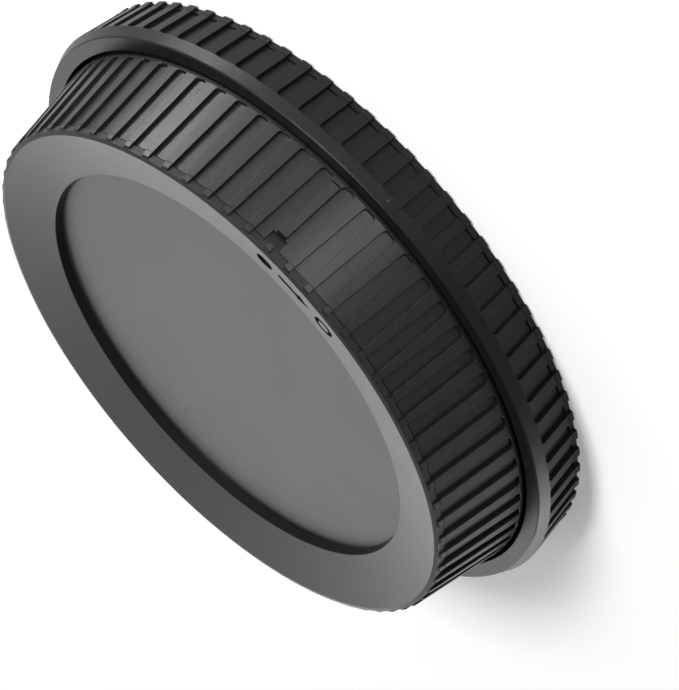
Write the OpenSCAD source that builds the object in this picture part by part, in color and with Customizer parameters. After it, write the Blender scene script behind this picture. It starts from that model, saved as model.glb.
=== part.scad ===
// Camera body cap and rear lens cap, locked mouth to mouth by a three-lug bayonet.
// Each cap is one moulding. +Z is their common axis, and the body cap's closed
// face lies on z = 0. The index ribs are on the -Y side.

/* [Lens cap] */
// Diameter of the closed face, at its edge
face_d = 54; // [52:0.5:60]
// Height from the mouth to the edge of the face
lens_h = 12.8; // [12:0.1:16]
// Thickness of the skirt, from the grip lands to the inside
lens_wall = 1.7; // [1.4:0.05:2.1]
// Radial width of the edge round the face, from the face to the parting groove
lens_edge_w = 0.72; // [0.64:0.02:0.9]
// Height of that edge
lens_edge_h = 0.82; // [0.6:0.02:1.1]
// How much the skirt's radius grows from the chamfer to the mouth
lens_flare = 1.25; // [0.6:0.05:1.8]
// How far the rim of the face slopes down towards the recess
face_dish = 1.2; // [0.6:0.05:1.6]
// Diameter of the recessed disc
recess_d = 43.4; // [36:0.2:46]
// Depth of the step down to the recessed disc
recess_step = 0.8; // [0.4:0.05:1.2]
// How much the step leans inwards on its way down
recess_draft = 0.2; // [0.05:0.01:0.3]
// Thickness of the recessed disc
face_t = 1.6; // [1.2:0.05:2.2]

/* [Body cap] */
// Height of the outer rim
rim_h = 5.8; // [5:0.1:7]
// Width of the flat on top of the rim
rim_flat = 1.4; // [1:0.02:1.8]
// Thickness of the closed disc
floor_t = 2.2; // [2:0.05:3]
// How much the rim widens from its top edge to the start of the grip
rim_flare = 0.56; // [0.3:0.01:0.7]
// Height of the plain band above the grip
rim_band = 1.12; // [0.8:0.02:1.5]
// How much the rim narrows from the start of the grip to the closed face
rim_taper = 0.64; // [0.3:0.01:1]
// Radial width of the edge round the closed face, from the face to the parting groove
body_edge_w = 0.5; // [0.4:0.02:0.7]
// Height of that edge
body_edge_h = 0.72; // [0.5:0.02:1]
// Diameter of the recess in the closed face
back_recess_d = 43.4; // [36:0.2:50]
// Depth of the recess in the closed face
back_recess = 0.7; // [0.3:0.05:0.9]

/* [Grip] */
// Number of slots round the lens cap
lens_slots = 69; // [60:1:76]
// Number of slots round the body cap
body_slots = 76; // [66:1:84]
// Width of a lens cap slot beside the face
lens_slot_w = 1.78; // [1.4:0.02:1.9]
// Width of a lens cap slot beside the mouth
lens_slot_end_w = 1.36; // [1.2:0.02:1.7]
// Width of a body cap slot
body_slot_w = 1.4; // [1.2:0.02:1.6]
// Depth of the slots
slot_depth = 0.4; // [0.25:0.01:0.55]
// Radius of the slots' corners
slot_corner = 0.36; // [0.2:0.02:0.5]
// Depth of the slots where they cross the edges, past the parting grooves
shelf_depth = 0.26; // [0.15:0.01:0.3]
// Width of the plain strip between the slots and the face of the lens cap
lens_strip_w = 0.44; // [0.3:0.01:0.5]
// How far that strip slopes down
lens_strip_drop = 0.13; // [0.05:0.01:0.2]
// Height of the bevel on the lands, beside that strip
land_bevel = 0.15; // [0.08:0.01:0.3]
// Width of the plain strip between the slots and the closed face of the body cap
body_strip_w = 0.16; // [0.08:0.01:0.22]
// How far that strip slopes up
body_strip_rise = 0.05; // [0.03:0.01:0.1]
// Plain band of the lens cap that shows above the rim
band_show = 0.3; // [0.2:0.05:1]
// Width of the parting groove that crosses the slots beside a chamfer
parting_w = 0.14; // [0.08:0.01:0.2]
// Depth of that groove below the slots, and twice its depth below the lands
parting_depth = 0.12; // [0.06:0.01:0.16]

/* [Index ribs] */
// How far the index ribs stand above the grip
index_rise = 0.28; // [0.1:0.02:0.5]
// Width of the lens cap's index rib
lens_index_w = 1.14; // [0.8:0.02:1.5]
// Width of the body cap's index rib
body_index_w = 1.28; // [1.2:0.02:1.5]
// Angle from the body cap's index rib to the lens cap's
index_lead = 9.56; // [4:0.01:20]
// Length of the pocket at the end of the lens cap's index rib
pocket_l = 1.25; // [0.8:0.05:1.8]
// Width of that pocket
pocket_w = 1.8; // [1.4:0.05:2.4]
// Depth of that pocket below the grip
pocket_depth = 0.7; // [0.5:0.05:0.9]

/* [Bayonet] */
// Wall of the body cap's collar
collar_wall = 1.6; // [1.2:0.1:2.2]
// How far the lugs stand out from the collar
lug_w = 1.3; // [1.2:0.05:1.6]
// Thickness of a lug
lug_t = 1.3; // [1:0.05:1.6]
// Arc that a lug spans
lug_arc = 56; // [55:1:59]
// Thickness of a tab of the lens cap
tab_t = 1.3; // [1:0.05:1.6]
// Arc that a tab spans
tab_arc = 46; // [40:1:47]
// Height of the tabs above the mouth
tab_rise = 0.4; // [0.2:0.05:0.8]
// Height of the collar above its lugs
collar_lip = 1.2; // [0.6:0.1:2]
// How far the stop stands out from the collar
stop_w = 1.1; // [0.8:0.05:1.15]
// Arc that the stop spans
stop_arc = 2.5; // [2:0.1:2.8]

/* [Clearances] */
// Gap under the lens cap's mouth, and above and below its tabs
seat_gap = 0.3; // [0.2:0.05:0.5]
// Radial gap between the lens cap's skirt and the body cap's rim
skirt_gap = 0.42; // [0.3:0.02:0.6]
// Radial gap between the tabs and the collar
tab_gap = 0.3; // [0.2:0.05:0.5]
// Radial gap between the lugs and the inside of the lens cap's skirt
lug_gap = 3; // [2:0.1:4]
// Angle between a tab and the stop that it turns against
stop_gap = 1; // [0.5:0.1:2]

/* [Hidden] */
$fn = 96;
// Facets of a full turn of a slot's corners
corner_fn = 24;

// Lugs and tabs, equally spaced, with one pair under the body cap's index rib
bayonets = 3;
index_angle = -90;
// Small breaks on the outer corners
corner_break = 0.12;
// How deep the grip's ring and the ribs are rooted in the wall
root = 0.5;
// Slots run on past the surface that they cut by this much
cut_over = 1;

// Heights, from the closed face of the body cap up
mouth_z = floor_t + seat_gap;
face_z = mouth_z + lens_h;
disc_z = face_z - face_dish - recess_step;
ceiling_z = disc_z - face_t;
lens_strip_z = face_z - lens_strip_drop;
lens_edge_z = face_z - lens_edge_h;
lens_slot_z = rim_h + band_show;
rim_slot_z = rim_h - rim_band;
tab_z = mouth_z + tab_rise;
lug_z = tab_z + tab_t + seat_gap;
collar_z = lug_z + lug_t + collar_lip;

// Radii of the lens cap
face_r = face_d / 2;
recess_r = recess_d / 2;
lens_strip_r = face_r + lens_strip_w;
lens_edge_r = face_r + lens_edge_w;
mouth_r = lens_edge_r + lens_flare;
// Ceiling of the lens cap under the raised rim of its face
rim_ceiling_z = face_z - face_dish - face_t;
rim_ceiling_r = min(recess_r + face_t, lens_edge_r - lens_wall - face_t);

// Radii of the body cap
rim_inner_r = mouth_r + skirt_gap;
rim_top_r = rim_inner_r + rim_flat;
rim_slot_r = rim_top_r + rim_flare;
body_edge_r = rim_slot_r - rim_taper;
back_r = body_edge_r - body_edge_w;
body_strip_r = back_r + body_strip_w;
lug_r = mouth_r - lens_wall - lug_gap;
collar_r = lug_r - lug_w;
tab_r = collar_r + tab_gap;

// Depth of the ring that the slots divide, below the lands
ring_depth = slot_depth + root;

// Plan angle of a width w at the radius r
function arc_of(w, r) = w / r * 180 / PI;

// Radius on the straight line from [r0, z0] to [r1, z1] at the height z
function r_at(r0, z0, r1, z1, z) = r0 + (r1 - r0) * (z - z0) / (z1 - z0);

// Radius of the lens cap's lands at the height z
function lens_land_r(z) = r_at(lens_edge_r, lens_edge_z, mouth_r, lens_slot_z, z);

// Radius of the body cap's lands at the height z, below the plain band
function body_land_r(z) = r_at(body_edge_r, body_edge_h, rim_slot_r, rim_slot_z, z);

// Sector of a turned section, centred on the angle a
module sector(a, arc) {
    rotate([0, 0, a - arc / 2])
        rotate_extrude(angle = arc)
            children();
}

// Outline of a slot with a round-cornered end at y = 0 and an open end at y = l
module slot_outline(end_w, open_w, l) {
    for (side = [-1, 1])
        translate([side * (end_w / 2 - slot_corner), slot_corner])
            circle(slot_corner, $fn = corner_fn);
    translate([-end_w / 2 + slot_corner, 0])
        square([end_w - 2 * slot_corner, slot_corner + root]);
    polygon([
        [-end_w / 2, slot_corner],
        [end_w / 2, slot_corner],
        [open_w / 2, l],
        [-open_w / 2, l]
    ]);
}

// Radial slots cut inwards from the outside to the radius r, between lands at a
module slots(n, a, r, reach, end_w, open_w, l) {
    for (i = [0 : n - 1])
        rotate([0, 0, a + (i + 0.5) * 360 / n])
            translate([r, 0, 0])
                rotate([90, 0, 90])
                    linear_extrude(reach)
                        slot_outline(end_w, open_w, l);
}

// Section of the lens cap up to the floors of its slots
module lens_core_section() {
    groove_z = lens_edge_z - parting_w;
    groove_r = lens_land_r(groove_z) - slot_depth;
    polygon([
        [0, ceiling_z],
        [rim_ceiling_r - face_t, ceiling_z],
        [rim_ceiling_r, rim_ceiling_z],
        [lens_edge_r - lens_wall, rim_ceiling_z],
        [mouth_r - lens_wall, lens_slot_z],
        [mouth_r - lens_wall, mouth_z],
        [mouth_r - slot_depth, mouth_z],
        [mouth_r - slot_depth, lens_slot_z],
        [groove_r, groove_z],
        [groove_r - parting_depth, groove_z],
        [groove_r - parting_depth, lens_edge_z],
        [lens_edge_r - shelf_depth, lens_edge_z],
        [lens_strip_r, lens_strip_z],
        [face_r, face_z],
        [recess_r, face_z - face_dish],
        [recess_r - recess_draft, disc_z],
        [0, disc_z]
    ]);
}

// Section of the ring that the lens cap's slots divide into lands
module lens_ring_section() {
    land_z = lens_strip_z - land_bevel;
    groove_z = lens_edge_z - parting_w / 2;
    groove_r = lens_edge_r - parting_depth / 2;
    polygon([
        [mouth_r - ring_depth, mouth_z],
        [mouth_r - corner_break, mouth_z],
        [mouth_r, mouth_z + corner_break],
        [mouth_r, lens_slot_z],
        [lens_land_r(groove_z), groove_z],
        [groove_r, groove_z],
        [groove_r, lens_edge_z],
        [lens_edge_r, lens_edge_z],
        [lens_land_r(land_z), land_z],
        [lens_strip_r, lens_strip_z],
        [lens_strip_r - root, lens_strip_z - root],
        [lens_edge_r - ring_depth, lens_edge_z],
        [mouth_r - ring_depth, lens_slot_z]
    ]);
}

// Rib on one land, from the pocket to just short of the mouth band
module lens_index_section() {
    rib_top = lens_edge_z - pocket_l;
    rib_end = lens_slot_z + slot_corner;
    polygon([
        [lens_land_r(rib_end) - root, rib_end],
        [lens_land_r(rib_end), rib_end],
        [lens_land_r(rib_end + index_rise) + index_rise, rib_end + index_rise],
        [lens_land_r(rib_top) + index_rise, rib_top],
        [lens_land_r(rib_top) - root, rib_top]
    ]);
}

module lens_pocket_section() {
    rib_top = lens_edge_z - pocket_l;
    translate([lens_land_r(rib_top) - pocket_depth, rib_top])
        square([pocket_depth + cut_over, pocket_l]);
}

module rear_lens_cap() {
    index_a = index_angle + index_lead;
    color([0.17, 0.17, 0.18])
        difference() {
            union() {
                rotate_extrude() lens_core_section();
                difference() {
                    rotate_extrude() lens_ring_section();
                    translate([0, 0, lens_slot_z])
                        slots(
                            lens_slots, index_a, face_r - cut_over, mouth_r - face_r + 2 * cut_over,
                            lens_slot_end_w, lens_slot_w, face_z - lens_slot_z
                        );
                }
                sector(index_a, arc_of(lens_index_w, mouth_r)) lens_index_section();
                for (i = [0 : bayonets - 1])
                    sector(index_angle + i * 360 / bayonets, tab_arc)
                        translate([tab_r, tab_z])
                            square([mouth_r - lens_wall + root - tab_r, tab_t]);
            }
            sector(index_a, arc_of(pocket_w, mouth_r)) lens_pocket_section();
        }
}

// Section of the body cap up to the floors of its slots
module body_core_section() {
    groove_z = body_edge_h + parting_w;
    groove_r = body_land_r(groove_z) - slot_depth;
    polygon([
        [0, back_recess],
        [back_recess_d / 2, back_recess],
        [back_recess_d / 2, 0],
        [back_r, 0],
        [body_strip_r, body_strip_rise],
        [body_edge_r - shelf_depth, body_edge_h],
        [groove_r - parting_depth, body_edge_h],
        [groove_r - parting_depth, groove_z],
        [groove_r, groove_z],
        [rim_slot_r - slot_depth, rim_slot_z],
        [rim_top_r - slot_depth, rim_h],
        [rim_inner_r, rim_h],
        [rim_inner_r, floor_t],
        [collar_r, floor_t],
        [collar_r, collar_z - corner_break],
        [collar_r - corner_break, collar_z],
        [collar_r - collar_wall, collar_z],
        [collar_r - collar_wall, floor_t],
        [0, floor_t]
    ]);
}

// Section of the ring that the body cap's slots divide into lands
module body_ring_section() {
    groove_z = body_edge_h + parting_w / 2;
    groove_r = body_edge_r - parting_depth / 2;
    polygon([
        [body_strip_r - root, body_strip_rise],
        [body_strip_r, body_strip_rise],
        [body_edge_r, 2 * body_strip_rise],
        [body_edge_r, body_edge_h],
        [groove_r, body_edge_h],
        [groove_r, groove_z],
        [body_land_r(groove_z), groove_z],
        [rim_slot_r, rim_slot_z],
        [rim_top_r + corner_break, rim_h - corner_break],
        [rim_top_r, rim_h],
        [rim_top_r - ring_depth, rim_h],
        [rim_slot_r - ring_depth, rim_slot_z],
        [body_edge_r - ring_depth, body_edge_h]
    ]);
}

// Rib on one land, on across the plain band to the top of the rim
module body_index_section() {
    rise = index_rise / 2;
    rib_top = rim_h - 2 * corner_break;
    top_r = r_at(rim_slot_r, rim_slot_z, rim_top_r, rim_h, rib_top);
    polygon([
        [body_edge_r - root, body_edge_h],
        [body_edge_r + rise, body_edge_h],
        [rim_slot_r + rise, rim_slot_z],
        [top_r + rise, rib_top],
        [top_r - root, rib_top]
    ]);
}

module body_cap() {
    color([0.13, 0.13, 0.14]) {
        rotate_extrude() body_core_section();
        difference() {
            rotate_extrude() body_ring_section();
            translate([0, 0, rim_slot_z])
                mirror([0, 0, 1])
                    slots(
                        body_slots, index_angle, back_r - cut_over, rim_slot_r - back_r + 2 * cut_over,
                        body_slot_w, body_slot_w, rim_slot_z
                    );
        }
        sector(index_angle, arc_of(body_index_w, rim_slot_r)) body_index_section();
        for (i = [0 : bayonets - 1])
            sector(index_angle + i * 360 / bayonets, lug_arc)
                translate([collar_r - root, lug_z])
                    square([lug_w + root, lug_t]);
        // The stop hangs under one lug, where a tab turned home comes up against it
        sector(index_angle - tab_arc / 2 - stop_gap - stop_arc / 2, stop_arc)
            translate([collar_r - root, floor_t - root])
                square([stop_w + root, lug_z - floor_t + 2 * root]);
    }
}

body_cap();
rear_lens_cap();
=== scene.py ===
import math

import bmesh
import bpy
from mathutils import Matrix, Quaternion, Vector


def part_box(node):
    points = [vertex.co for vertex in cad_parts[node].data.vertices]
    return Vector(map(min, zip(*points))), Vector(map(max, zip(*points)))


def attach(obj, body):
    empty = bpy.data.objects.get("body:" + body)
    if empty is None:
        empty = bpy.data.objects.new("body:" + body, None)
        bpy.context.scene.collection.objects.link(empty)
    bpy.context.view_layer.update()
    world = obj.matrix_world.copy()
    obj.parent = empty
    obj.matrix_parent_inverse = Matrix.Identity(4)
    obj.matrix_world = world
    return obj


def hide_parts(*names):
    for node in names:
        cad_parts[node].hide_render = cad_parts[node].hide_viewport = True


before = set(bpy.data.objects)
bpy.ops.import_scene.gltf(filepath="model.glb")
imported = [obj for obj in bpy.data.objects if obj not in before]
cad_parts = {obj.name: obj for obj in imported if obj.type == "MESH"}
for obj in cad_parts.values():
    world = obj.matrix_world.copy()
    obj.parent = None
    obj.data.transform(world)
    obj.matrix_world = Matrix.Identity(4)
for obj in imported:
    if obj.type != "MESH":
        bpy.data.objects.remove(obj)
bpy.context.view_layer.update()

# Camera: it stands 0.73 m away, in front of the index ribs, and looks down at the lens cap's face.
# It is rolled until that face points to the lower left of the picture.
MM = 0.001
camera_azimuth = math.radians(-91.22)
camera_elevation = math.radians(23.13)
camera_roll = math.radians(-131.41)
camera_distance = 728 * MM
camera_aim = Vector((-5.34, 0.11, 4.32)) * MM
sensor_width_in_mm = 36
focal_length_in_mm = 417.4
nearest_seen = 0.05
farthest_seen = 20

camera_back = Vector((
    math.cos(camera_azimuth) * math.cos(camera_elevation),
    math.sin(camera_azimuth) * math.cos(camera_elevation),
    math.sin(camera_elevation),
))
bpy.ops.object.camera_add(location=camera_aim + camera_back * camera_distance)
camera = bpy.context.object
camera.name = "camera"
camera.rotation_mode = "QUATERNION"
camera.rotation_quaternion = (-camera_back).to_track_quat("-Z", "Y") @ Quaternion((0, 0, 1), camera_roll)
camera.data.sensor_width = sensor_width_in_mm
camera.data.lens = focal_length_in_mm
camera.data.clip_start = nearest_seen
camera.data.clip_end = farthest_seen
bpy.context.scene.camera = camera

# Lens cap: one moulding in black plastic, the round face with its sunk disc and the slotted grip
# skirt. Its mould leaves small radii on the outer corners and a fine grain. Three marks are sunk
# into the rim of the face, beside the index rib.
lens_cap_black = (0.009, 0.009, 0.0094)
face_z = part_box("rear_lens_cap")[1].z
face_r = 27 * MM
recess_r = 21.7 * MM
face_dish = 1.2 * MM
face_slope = math.atan2(face_dish, face_r - recess_r)
lens_edge_z = face_z - 0.82 * MM
parting_w = 0.14 * MM
groove_margin = 0.01 * MM
edge_radius = 0.045 * MM
edge_segments = 2

same_point = 0.001 * MM
flat_within = math.radians(0.5)


def copy_moulding(node, name):
    """A merged copy of a CAD node, with its flat faces whole, left active in object mode."""
    bpy.ops.object.select_all(action="DESELECT")
    piece = node.copy()
    piece.data = node.data.copy()
    piece.name = name
    piece.parent = None
    for key in list(piece.keys()):
        del piece[key]
    bpy.context.scene.collection.objects.link(piece)
    bpy.context.view_layer.objects.active = piece
    piece.select_set(True)
    piece.data.materials.clear()
    bpy.ops.mesh.customdata_custom_splitnormals_clear()
    bpy.ops.object.mode_set(mode="EDIT")
    bpy.ops.mesh.select_all(action="SELECT")
    bpy.ops.mesh.remove_doubles(threshold=same_point)
    bpy.ops.mesh.dissolve_limited(angle_limit=flat_within)
    bpy.ops.object.mode_set(mode="OBJECT")
    return piece


lens_cap = copy_moulding(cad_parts["rear_lens_cap"], "lens_cap_moulding")

mark_r = 24.6 * MM
mark_z = face_z - (face_r - mark_r) * math.tan(face_slope)
mark_depth = 0.3 * MM
cutter_height = 4 * mark_depth


def sink_mark(mark, angle):
    """Cuts a mark, drawn flat about the origin with +Y outwards, into the rim of the face."""
    bpy.ops.object.mode_set(mode="EDIT")
    bpy.ops.mesh.select_all(action="SELECT")
    bpy.ops.mesh.extrude_region_move(TRANSFORM_OT_translate={"value": (0, 0, cutter_height)})
    bpy.ops.mesh.select_all(action="SELECT")
    bpy.ops.mesh.normals_make_consistent(inside=False)
    bpy.ops.object.mode_set(mode="OBJECT")
    turn = Quaternion((0, 0, 1), angle - math.pi / 2) @ Quaternion((1, 0, 0), face_slope)
    mark.rotation_mode = "QUATERNION"
    mark.rotation_quaternion = turn
    centre = Vector((mark_r * math.cos(angle), mark_r * math.sin(angle), mark_z))
    mark.location = centre - turn @ Vector((0, 0, mark_depth))
    cut = lens_cap.modifiers.new("mark", "BOOLEAN")
    cut.operation = "DIFFERENCE"
    cut.solver = "EXACT"
    cut.object = mark
    bpy.ops.object.select_all(action="DESELECT")
    bpy.context.view_layer.objects.active = lens_cap
    lens_cap.select_set(True)
    bpy.ops.object.modifier_apply(modifier="mark")
    bpy.data.objects.remove(mark)


# The dot where the cap is locked
circle_sides = 40
dot_radius = 0.95 * MM
dot_angle = math.radians(-80.7)
bpy.ops.object.select_all(action="DESELECT")
bpy.ops.mesh.primitive_circle_add(vertices=circle_sides, radius=dot_radius, fill_type="NGON")
sink_mark(bpy.context.object, dot_angle)

# The ring where it is free
ring_radius = 1.15 * MM
ring_stroke = 0.46 * MM
ring_angle = math.radians(-98.7)
bpy.ops.object.select_all(action="DESELECT")
bpy.ops.mesh.primitive_circle_add(vertices=circle_sides, radius=ring_radius, fill_type="NGON")
bpy.ops.object.mode_set(mode="EDIT")
bpy.ops.mesh.select_mode(type="FACE")
bpy.ops.mesh.select_all(action="SELECT")
bpy.ops.mesh.inset(thickness=ring_stroke)
bpy.ops.mesh.delete(type="FACE")
bpy.ops.object.mode_set(mode="OBJECT")
sink_mark(bpy.context.object, ring_angle)

# The plain arrow from one to the other
arrow_length = 4 * MM
arrow_stroke = 0.72 * MM
arrow_head = 1.5 * MM
arrow_angle = math.radians(-89.4)
bpy.ops.object.select_all(action="DESELECT")
bpy.ops.mesh.primitive_plane_add(size=1)
bpy.ops.object.mode_set(mode="EDIT")
bpy.ops.mesh.select_all(action="SELECT")
bpy.ops.transform.resize(value=(arrow_length - arrow_head, arrow_stroke, 1))
bpy.ops.transform.translate(value=(-arrow_head / 2, 0, 0))
bpy.ops.mesh.select_mode(type="EDGE")
bpy.ops.mesh.select_all(action="DESELECT")
arrow_mesh = bmesh.from_edit_mesh(bpy.context.object.data)
for edge in arrow_mesh.edges:
    if all(v.co.x > 0 for v in edge.verts):
        edge.select_set(True)
bmesh.update_edit_mesh(bpy.context.object.data)
bpy.ops.mesh.extrude_region_move(TRANSFORM_OT_translate={"value": (0, 0, 0)})
bpy.ops.transform.resize(value=(1, arrow_head / arrow_stroke, 1))
bpy.ops.mesh.extrude_region_move(TRANSFORM_OT_translate={"value": (arrow_head, 0, 0)})
bpy.ops.mesh.merge(type="CENTER")
bpy.ops.object.mode_set(mode="OBJECT")
sink_mark(bpy.context.object, arrow_angle)

# The rounded corners, and the normals of turned faces
crease = math.radians(22)
turned_within = math.radians(5)
least_lean = 0.02


def shade_as_turned(mesh):
    """Sets a moulding's normals, which smooth shading alone would bend across its long faces.

    A turned face takes the normals of its cone, and any other the mean of the faces near it within
    the crease. A rounding, which the bevel left selected, takes those of the nearest plain face.
    """
    faces_at = {}
    for face in mesh.polygons:
        for vertex in face.vertices:
            faces_at.setdefault(vertex, []).append(face)

    def cone_normal(face, place):
        out = Vector((face.center.x, face.center.y, 0)).normalized()
        level = Vector((face.normal.x, face.normal.y, 0))
        if level.length < least_lean or abs(level.normalized().dot(out)) < math.cos(turned_within):
            return None
        side = math.copysign(level.length, level.dot(out))
        return Vector((place.x, place.y, 0)).normalized() * side + Vector((0, 0, face.normal.z))

    def plain_normal(face, vertex):
        turned = cone_normal(face, mesh.vertices[vertex].co)
        if turned:
            return turned
        near = [f for f in faces_at[vertex] if not f.select and f.normal.angle(face.normal) < crease]
        return sum((f.normal * f.area for f in near), Vector())

    normals = []
    for face in mesh.polygons:
        for vertex in face.vertices:
            if not face.select:
                normal = plain_normal(face, vertex)
            else:
                plain = [f for f in faces_at[vertex] if not f.select]
                if plain:
                    nearest = min(plain, key=lambda f: f.normal.angle(face.normal))
                    normal = plain_normal(nearest, vertex)
                else:
                    normal = sum((f.normal for f in faces_at[vertex]), Vector())
            normals.append(normal.normalized())
    mesh.normals_split_custom_set(normals)


corner = math.radians(50)


def round_corners(piece, groove_low, groove_high):
    """Rounds a moulding's outer corners, but for those of the parting groove between these heights."""
    bpy.ops.object.select_all(action="DESELECT")
    bpy.context.view_layer.objects.active = piece
    piece.select_set(True)
    bpy.ops.object.mode_set(mode="EDIT")
    bpy.ops.mesh.select_mode(type="EDGE")
    bpy.ops.mesh.select_all(action="DESELECT")
    mesh = bmesh.from_edit_mesh(piece.data)
    for edge in mesh.edges:
        in_groove = all(groove_low < v.co.z < groove_high for v in edge.verts)
        if edge.is_manifold and not in_groove and edge.calc_face_angle_signed() > corner:
            edge.select_set(True)
    bmesh.update_edit_mesh(piece.data)
    bpy.ops.mesh.bevel(offset=edge_radius, segments=edge_segments, affect="EDGES", clamp_overlap=False)
    bpy.ops.object.mode_set(mode="OBJECT")
    bpy.ops.object.shade_smooth()
    shade_as_turned(piece.data)


round_corners(lens_cap, lens_edge_z - parting_w - groove_margin, lens_edge_z + groove_margin)


class Shade:
    """An output of the material that is being made. Arithmetic on it adds Math nodes."""

    def __init__(self, tree, socket=None):
        self.tree = tree
        self.socket = socket

    def node(self, kind, settings=None, inputs=None, output=0):
        """A node of this kind, with its settings made first and then its inputs, as values or links."""
        made = self.tree.nodes.new(kind)
        for name, value in (settings or {}).items():
            setattr(made, name, value)
        for name, value in (inputs or {}).items():
            if isinstance(value, Shade):
                self.tree.links.new(value.socket, made.inputs[name])
            else:
                made.inputs[name].default_value = value
        return Shade(self.tree, made.outputs[output])

    def feed(self, socket):
        """Links this output to a shader's socket."""
        self.tree.links.new(self.socket, socket)

    def math(self, operation, first, second):
        return self.node("ShaderNodeMath", {"operation": operation}, {0: first, 1: second})

    def __add__(self, other):
        return self.math("ADD", self, other)

    def __radd__(self, other):
        return self.math("ADD", other, self)

    def __sub__(self, other):
        return self.math("SUBTRACT", self, other)

    def __rsub__(self, other):
        return self.math("SUBTRACT", other, self)

    def __mul__(self, other):
        return self.math("MULTIPLY", self, other)

    def __rmul__(self, other):
        return self.math("MULTIPLY", other, self)


# A Mix node's own sockets for colours
mix_share = 0
mix_colour_a = 6
mix_colour_b = 7
mix_colour_out = 2

mean_roughness = 0.36
grain_scale = 7500.0
grain_fineness = {"Detail": 2.0, "Roughness": 0.6}
grain_in_roughness = 0.1
grain_in_tone = 0.35
grain_relief = {"Strength": 0.8, "Distance": 0.02 * MM}
cloud_scale = 140.0
cloud_fineness = {"Detail": 3.0}
cloud_in_roughness = 0.06
cloud_in_tone = 0.5
tone_range = 0.25
plastic_ior = 1.5


def moulded_plastic(name, black, sheen):
    """Black moulded plastic: a fine raised grain, and a faint cloud in its tone and gloss."""
    material = bpy.data.materials.new(name)
    material.use_nodes = True
    shader = material.node_tree.nodes["Principled BSDF"]
    start = Shade(material.node_tree)
    place = start.node("ShaderNodeTexCoord", output="Object")
    grain = start.node("ShaderNodeTexNoise", None, {"Vector": place, "Scale": grain_scale, **grain_fineness})
    cloud = start.node("ShaderNodeTexNoise", None, {"Vector": place, "Scale": cloud_scale, **cloud_fineness})
    grain_swing = grain - 0.5
    cloud_swing = cloud - 0.5
    rough = mean_roughness + grain_swing * grain_in_roughness + cloud_swing * cloud_in_roughness
    tone = cloud_swing * cloud_in_tone + grain_swing * grain_in_tone + 0.5
    darker = tuple(c * (1 - tone_range) for c in black) + (1.0,)
    lighter = tuple(c * (1 + tone_range) for c in black) + (1.0,)
    colour = start.node(
        "ShaderNodeMix",
        {"data_type": "RGBA"},
        {mix_share: tone, mix_colour_a: darker, mix_colour_b: lighter},
        mix_colour_out,
    )
    bump = start.node("ShaderNodeBump", None, {"Height": grain, **grain_relief})
    colour.feed(shader.inputs["Base Color"])
    rough.feed(shader.inputs["Roughness"])
    bump.feed(shader.inputs["Normal"])
    shader.inputs["IOR"].default_value = plastic_ior
    shader.inputs["Specular IOR Level"].default_value = sheen
    return material


lens_cap.data.materials.append(moulded_plastic("lens_cap_plastic", lens_cap_black, sheen=0.21))
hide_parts("rear_lens_cap")
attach(lens_cap, "rear_lens_cap")

# Body cap: the second moulding, in a slightly deeper black plastic. It has the closed disc that the
# pair rests on, its slotted rim, and inside the lens cap the collar with the bayonet's lugs.
body_cap_black = (0.007, 0.007, 0.0073)
body_edge_z = 0.72 * MM

body_cap = copy_moulding(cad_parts["body_cap"], "body_cap_moulding")
round_corners(body_cap, body_edge_z - groove_margin, body_edge_z + parting_w + groove_margin)
body_cap.data.materials.append(moulded_plastic("body_cap_plastic", body_cap_black, sheen=0.15))
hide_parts("body_cap")
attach(body_cap, "body_cap")

# Table: a large white table top just under the caps. What the camera and the reflections see of it
# is lifted to white, and the caps' shadow stays on it.
table_size = 6
table_gap = 0.02 * MM
table_tone = (0.8, 0.8, 0.8, 1)
table_roughness = 0.9
table_lift = 0.3
white = (1, 1, 1, 1)

bpy.ops.object.select_all(action="DESELECT")
bpy.ops.mesh.primitive_plane_add(size=table_size, location=(0, 0, -table_gap))
table_top = bpy.context.object
table_top.name = "table_top"
table_white = bpy.data.materials.new("table_white")
table_white.use_nodes = True
table_shader = table_white.node_tree.nodes["Principled BSDF"]
table_shader.inputs["Base Color"].default_value = table_tone
table_shader.inputs["Roughness"].default_value = table_roughness
table_shader.inputs["Specular IOR Level"].default_value = 0.0
table_shader.inputs["Emission Color"].default_value = white


def seen_directly(tree):
    """1 for what the camera sees, directly or by reflection or refraction, and 0 for other light."""
    path = Shade(tree)
    seen = path.node("ShaderNodeLightPath", output="Is Camera Ray")
    for ray in ("Is Glossy Ray", "Is Transmission Ray"):
        seen = seen.math("MAXIMUM", seen, path.node("ShaderNodeLightPath", output=ray))
    return seen


lift_to_white = seen_directly(table_white.node_tree) * table_lift
lift_to_white.feed(table_shader.inputs["Emission Strength"])
table_top.data.materials.append(table_white)

# Lights: a key box, high on the +X side, throws the caps' shadow towards -X, and two lamps behind
# lay the sheen on the face. The strips stand lower than the face, so that only the skirts catch
# them, and most of the room's own light comes from behind too.
lamp_distance = 0.3
strip_elevation = 1.43
strip_height = 0.014


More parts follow.
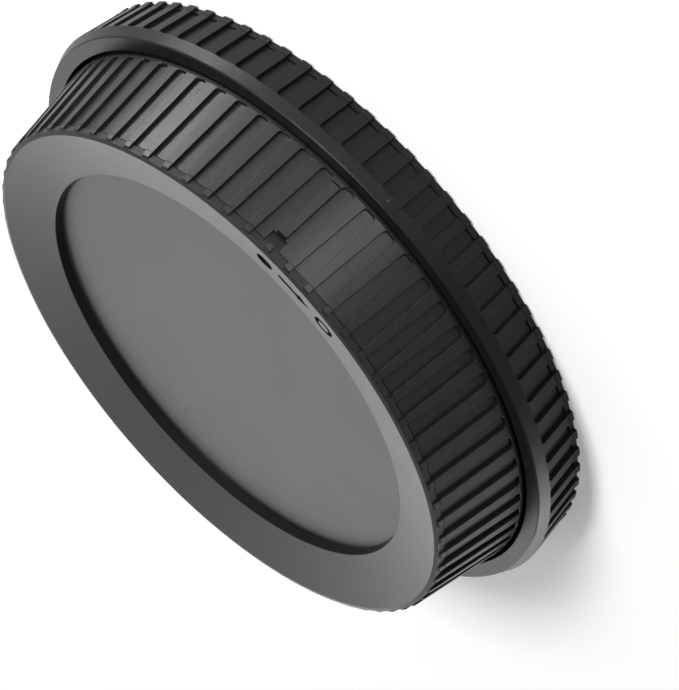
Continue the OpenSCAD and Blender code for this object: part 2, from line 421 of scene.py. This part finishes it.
def soft_box(name, azimuth, elevation, distance, width, height, radiance):
    """A soft box aimed at the caps, in degrees and metres. azimuth is counted from +X towards +Y."""
    a = math.radians(azimuth)
    e = math.radians(elevation)
    out = Vector((math.cos(a) * math.cos(e), math.sin(a) * math.cos(e), math.sin(e)))
    bpy.ops.object.light_add(type="AREA", location=out * distance)
    lamp = bpy.context.object
    lamp.name = name
    lamp.rotation_mode = "QUATERNION"
    lamp.rotation_quaternion = out.to_track_quat("Z", "Y")
    lamp.data.shape = "RECTANGLE"
    lamp.data.size = width
    lamp.data.size_y = height
    lamp.data.energy = radiance * math.pi * width * height


def low_strip(name, azimuth, width, radiance):
    """A long low lamp beside the caps, just over the table."""
    soft_box(name, azimuth, strip_elevation, lamp_distance, width, strip_height, radiance)


soft_box("key_box", azimuth=-50, elevation=48, distance=0.6, width=0.2, height=0.2, radiance=26.0)
soft_box("back_box", 90, 35, lamp_distance, width=0.15, height=0.14, radiance=1.9)
soft_box("back_strip", 90, 9, lamp_distance, width=0.155, height=0.1, radiance=2.1)
low_strip("side_strip", azimuth=-10, width=0.09, radiance=290.0)
low_strip("wing_strip", azimuth=-34, width=0.155, radiance=24.0)
low_strip("near_strip", azimuth=-60, width=0.1, radiance=12.0)
low_strip("front_strip", azimuth=-86, width=0.06, radiance=125.0)
low_strip("far_strip", azimuth=143, width=0.24, radiance=31.0)
low_strip("left_strip", azimuth=175, width=0.15, radiance=10.0)

world = bpy.data.worlds.new("studio")
bpy.context.scene.world = world
world.use_nodes = True
sky = Shade(world.node_tree)
bright_side = (0.55, 0.75, 0.35)
room_light = {"From Min": -0.3, "From Max": 0.9, "To Min": 0.03, "To Max": 0.3}
room_lift = 0.45
direction = sky.node("ShaderNodeTexCoord", output="Generated")
towards_light = sky.node(
    "ShaderNodeVectorMath", {"operation": "DOT_PRODUCT"}, {0: direction, 1: bright_side}, "Value"
)
room = sky.node(
    "ShaderNodeMapRange", {"interpolation_type": "SMOOTHSTEP"}, {"Value": towards_light, **room_light}
)
glow = room + seen_directly(world.node_tree) * room_lift
background = world.node_tree.nodes["Background"]
glow.feed(background.inputs["Strength"])
background.inputs["Color"].default_value = white

bpy.context.scene.view_settings.view_transform = "Standard"
